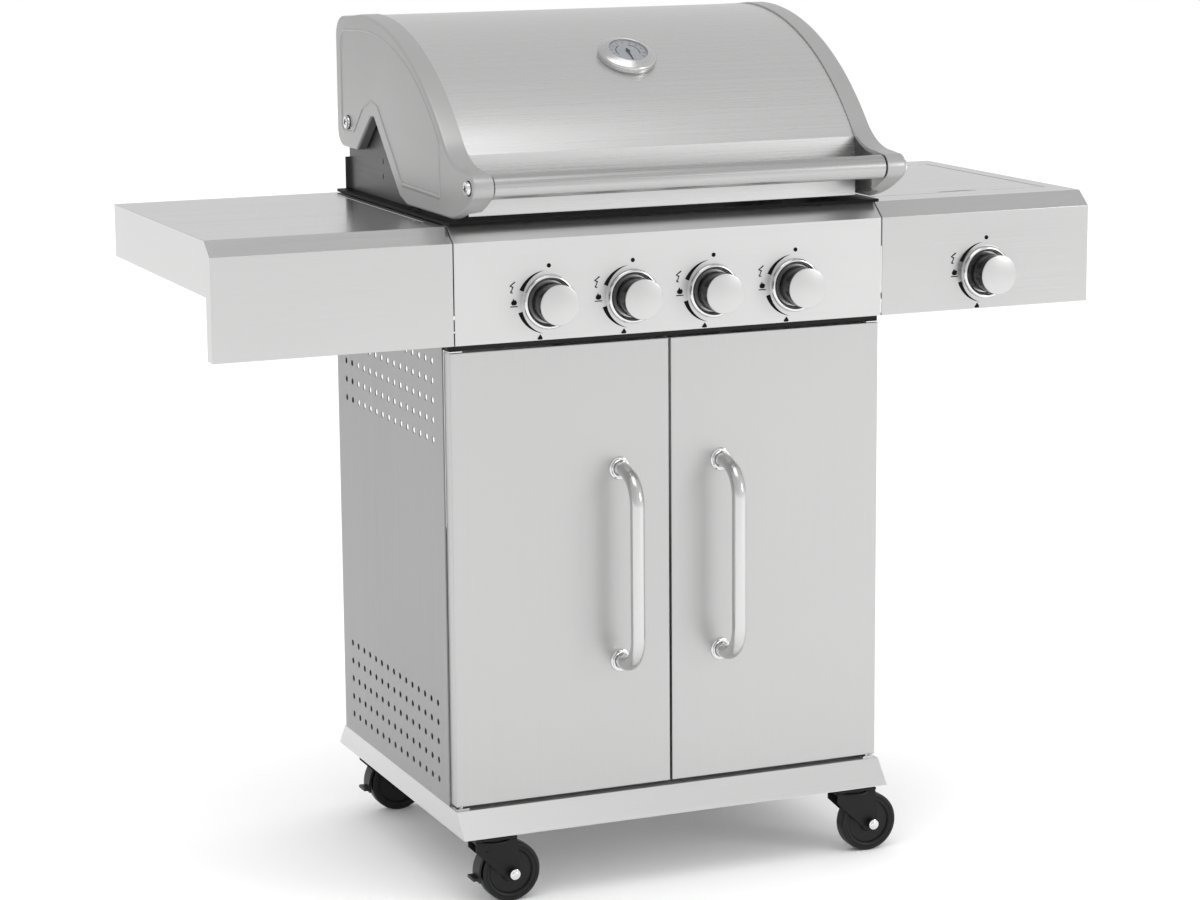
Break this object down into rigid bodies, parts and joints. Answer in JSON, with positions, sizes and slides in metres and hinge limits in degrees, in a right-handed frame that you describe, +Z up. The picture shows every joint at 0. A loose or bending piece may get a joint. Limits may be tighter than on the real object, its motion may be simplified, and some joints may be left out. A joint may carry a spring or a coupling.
{
  "type": "gas barbecue grill",
  "caption": "Gas barbecue grill on a wheeled steel cabinet with a domed lid, double doors, side shelf, side burner, control knobs and swivel casters.",
  "frame": {"origin": "on the ground, below the centre of the bounding box", "axes": "+X to the right seen from the front, +Y to the back, +Z up"},
  "size_m": [1.298, 0.5934, 1.1936],
  "materials": {
    "brushed_panel": "brushed",
    "brushed_side": "brushed",
    "polished_tube": "polished",
    "cast_cap": "satin",
    "black_steel": "satin",
    "firebox_enamel": "satin",
    "cast_grate": "matt",
    "burner_steel": "brushed",
    "valve_brass": "satin",
    "knob_plastic": "gloss",
    "wheel_plastic": "matt",
    "needle_paint": "satin"
  },
  "bodies": {
    "cart": {"base_tray": "brushed_side", "caster_rails": "black_steel", "caster_plates": "black_steel", "left_side_panel": "brushed_side", "right_side_panel": "brushed_side", "rear_panel": "brushed_side", "front_beam": "black_steel", "door_brackets": "polished_tube", "control_panel": "brushed_panel", "left_shelf": "brushed_panel", "right_shelf": "brushed_panel", "firebox": "firebox_enamel", "tray_runners": "burner_steel", "firebox_rim": "black_steel", "burners": "burner_steel", "flame_tamers": "burner_steel", "left_grate": "cast_grate", "right_grate": "cast_grate", "warming_rack": "polished_tube", "gas_manifold": "burner_steel", "burner_valves": "valve_brass", "knob_bezels": "polished_tube", "side_burner_bowl": "burner_steel", "side_burner": "valve_brass", "side_burner_grate": "cast_grate"},
    "lid": {"lid_skin": "brushed_panel", "left_lid_cap": "cast_cap", "right_lid_cap": "cast_cap", "lid_handle": "brushed_side", "lid_bolts": "polished_tube", "thermometer": "polished_tube"},
    "needle": {"thermometer_needle": "needle_paint"},
    "left_door": {"left_door": "brushed_panel", "left_door_back": "brushed_side", "left_door_handle": "polished_tube"},
    "right_door": {"right_door": "brushed_panel", "right_door_back": "brushed_side", "right_door_handle": "polished_tube"},
    "stem_1": {"valve_stem_1": "valve_brass"},
    "knob_1": {"knob_1": "knob_plastic"},
    "stem_2": {"valve_stem_2": "valve_brass"},
    "knob_2": {"knob_2": "knob_plastic"},
    "stem_3": {"valve_stem_3": "valve_brass"},
    "knob_3": {"knob_3": "knob_plastic"},
    "stem_4": {"valve_stem_4": "valve_brass"},
    "knob_4": {"knob_4": "knob_plastic"},
    "stem_5": {"valve_stem_5": "valve_brass"},
    "knob_5": {"knob_5": "knob_plastic"},
    "front_left_caster": {"front_left_caster_fork": "black_steel"},
    "front_left_wheel": {"front_left_wheel": "wheel_plastic"},
    "front_left_brake": {"front_left_brake": "wheel_plastic"},
    "front_right_caster": {"front_right_caster_fork": "black_steel"},
    "front_right_wheel": {"front_right_wheel": "wheel_plastic"},
    "rear_left_caster": {"rear_left_caster_fork": "black_steel"},
    "rear_left_wheel": {"rear_left_wheel": "wheel_plastic"},
    "rear_left_brake": {"rear_left_brake": "wheel_plastic"},
    "rear_right_caster": {"rear_right_caster_fork": "black_steel"},
    "rear_right_wheel": {"rear_right_wheel": "wheel_plastic"},
    "side_burner_cover": {"side_burner_cover": "brushed_panel"},
    "grease_tray": {"grease_tray": "burner_steel"}
  },
  "joints": [
    {"name": "lid_hinge", "type": "hinge", "parent": "cart", "child": "lid", "pos_m": [0, 0.2116, 1.038], "axis": [-1, 0, 0], "range_deg": [0, 85]},
    {"name": "thermometer_needle_turn", "type": "hinge", "parent": "lid", "child": "needle", "pos_m": [0, -0.0614, 1.13586], "axis": [0, -0.4868, 0.8735], "range_deg": [-270, 0]},
    {"name": "left_door_hinge", "type": "hinge", "parent": "cart", "child": "left_door", "pos_m": [-0.311, -0.1944, 0.45], "axis": [0, 0, -1], "range_deg": [0, 110]},
    {"name": "right_door_hinge", "type": "hinge", "parent": "cart", "child": "right_door", "pos_m": [0.311, -0.1944, 0.45], "axis": [0, 0, 1], "range_deg": [0, 110]},
    {"name": "knob_1_push", "type": "slide", "parent": "cart", "child": "stem_1", "axis": [0, 1, 0], "range_m": [0, 0.004], "stiffness_N_per_m": 400},
    {"name": "knob_1_turn", "type": "hinge", "parent": "stem_1", "child": "knob_1", "pos_m": [-0.182, -0.2344, 0.827], "axis": [0, -1, 0], "range_deg": [0, 190]},
    {"name": "knob_2_push", "type": "slide", "parent": "cart", "child": "stem_2", "axis": [0, 1, 0], "range_m": [0, 0.004], "stiffness_N_per_m": 400},
    {"name": "knob_2_turn", "type": "hinge", "parent": "stem_2", "child": "knob_2", "pos_m": [-0.06, -0.2344, 0.827], "axis": [0, -1, 0], "range_deg": [0, 190]},
    {"name": "knob_3_push", "type": "slide", "parent": "cart", "child": "stem_3", "axis": [0, 1, 0], "range_m": [0, 0.004], "stiffness_N_per_m": 400},
    {"name": "knob_3_turn", "type": "hinge", "parent": "stem_3", "child": "knob_3", "pos_m": [0.06, -0.2344, 0.827], "axis": [0, -1, 0], "range_deg": [0, 190]},
    {"name": "knob_4_push", "type": "slide", "parent": "cart", "child": "stem_4", "axis": [0, 1, 0], "range_m": [0, 0.004], "stiffness_N_per_m": 400},
    {"name": "knob_4_turn", "type": "hinge", "parent": "stem_4", "child": "knob_4", "pos_m": [0.184, -0.2344, 0.827], "axis": [0, -1, 0], "range_deg": [0, 190]},
    {"name": "knob_5_push", "type": "slide", "parent": "cart", "child": "stem_5", "axis": [0, 1, 0], "range_m": [0, 0.004], "stiffness_N_per_m": 400},
    {"name": "knob_5_turn", "type": "hinge", "parent": "stem_5", "child": "knob_5", "pos_m": [0.484, -0.2344, 0.827], "axis": [0, -1, 0], "range_deg": [0, 190]},
    {"name": "front_left_swivel", "type": "hinge", "parent": "cart", "child": "front_left_caster", "pos_m": [-0.2756, -0.2154, 0.09], "axis": [0, 0, 1], "continuous": true},
    {"name": "front_left_roll", "type": "hinge", "parent": "front_left_caster", "child": "front_left_wheel", "pos_m": [-0.2506, -0.2154, 0.0426], "axis": [0, 1, 0], "continuous": true},
    {"name": "front_left_brake_press", "type": "hinge", "parent": "front_left_caster", "child": "front_left_brake", "pos_m": [-0.2866, -0.2154, 0.0756], "axis": [0, -1, 0], "range_deg": [0, 3]},
    {"name": "front_right_swivel", "type": "hinge", "parent": "cart", "child": "front_right_caster", "pos_m": [0.2756, -0.2154, 0.09], "axis": [0, 0, 1], "continuous": true},
    {"name": "front_right_roll", "type": "hinge", "parent": "front_right_caster", "child": "front_right_wheel", "pos_m": [0.3006, -0.2154, 0.0426], "axis": [0, 1, 0], "continuous": true},
    {"name": "rear_left_swivel", "type": "hinge", "parent": "cart", "child": "rear_left_caster", "pos_m": [-0.2756, 0.2486, 0.09], "axis": [0, 0, 1], "continuous": true},
    {"name": "rear_left_roll", "type": "hinge", "parent": "rear_left_caster", "child": "rear_left_wheel", "pos_m": [-0.2506, 0.2486, 0.0426], "axis": [0, 1, 0], "continuous": true},
    {"name": "rear_left_brake_press", "type": "hinge", "parent": "rear_left_caster", "child": "rear_left_brake", "pos_m": [-0.2866, 0.2486, 0.0756], "axis": [0, -1, 0], "range_deg": [0, 3]},
    {"name": "rear_right_swivel", "type": "hinge", "parent": "cart", "child": "rear_right_caster", "pos_m": [0.2756, 0.2486, 0.09], "axis": [0, 0, 1], "continuous": true},
    {"name": "rear_right_roll", "type": "hinge", "parent": "rear_right_caster", "child": "rear_right_wheel", "pos_m": [0.3006, 0.2486, 0.0426], "axis": [0, 1, 0], "continuous": true},
    {"name": "side_cover_hinge", "type": "hinge", "parent": "cart", "child": "side_burner_cover", "pos_m": [0.484, 0.2066, 0.9284], "axis": [-1, 0, 0], "range_deg": [0, 100]},
    {"name": "grease_tray_slide", "type": "slide", "parent": "cart", "child": "grease_tray", "axis": [0, 1, 0], "range_m": [0, 0.3]}
  ]
}
